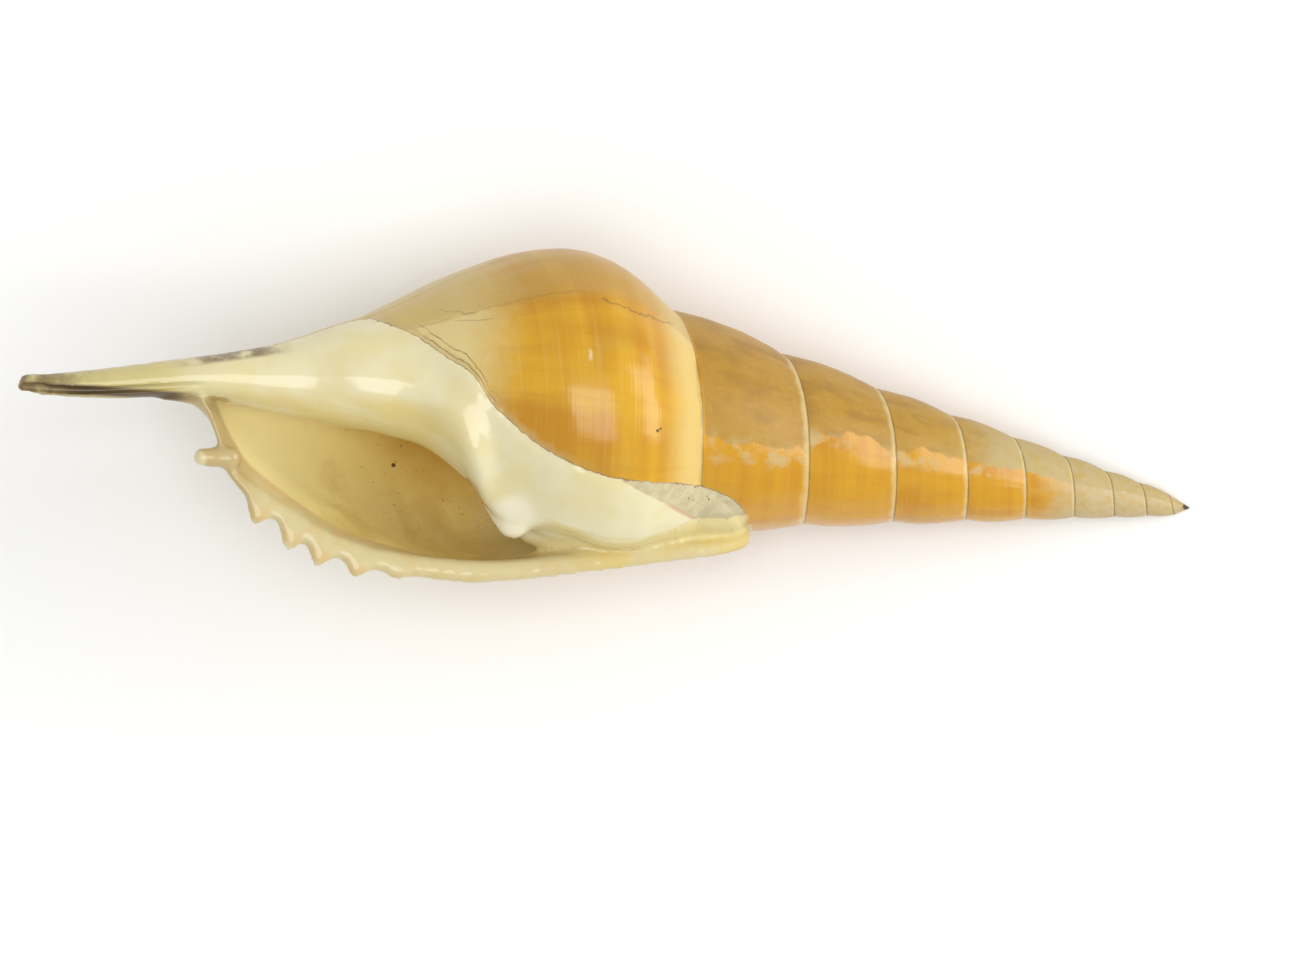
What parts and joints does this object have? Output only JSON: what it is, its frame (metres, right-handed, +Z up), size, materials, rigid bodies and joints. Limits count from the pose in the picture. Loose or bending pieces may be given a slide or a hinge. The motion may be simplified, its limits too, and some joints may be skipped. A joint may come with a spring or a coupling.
{
  "type": "arabian tibia seashell",
  "caption": "Long spindle-shaped sea snail shell lying on its back, with a tall spire, an open mouth, a toothed outer lip and a straight front canal.",
  "frame": {"origin": "centre of the shell's bounding box in plan, on the surface that it lies on", "axes": "+X along the shell's length towards the tip of the spire, +Y away from the outer lip, +Z up, the way the mouth faces"},
  "size_m": [0.1458, 0.0416, 0.0359],
  "materials": {
    "shell": "glossy tan and ivory shell"
  },
  "bodies": {
    "root": {"shell": "shell"}
  },
  "joints": []
}
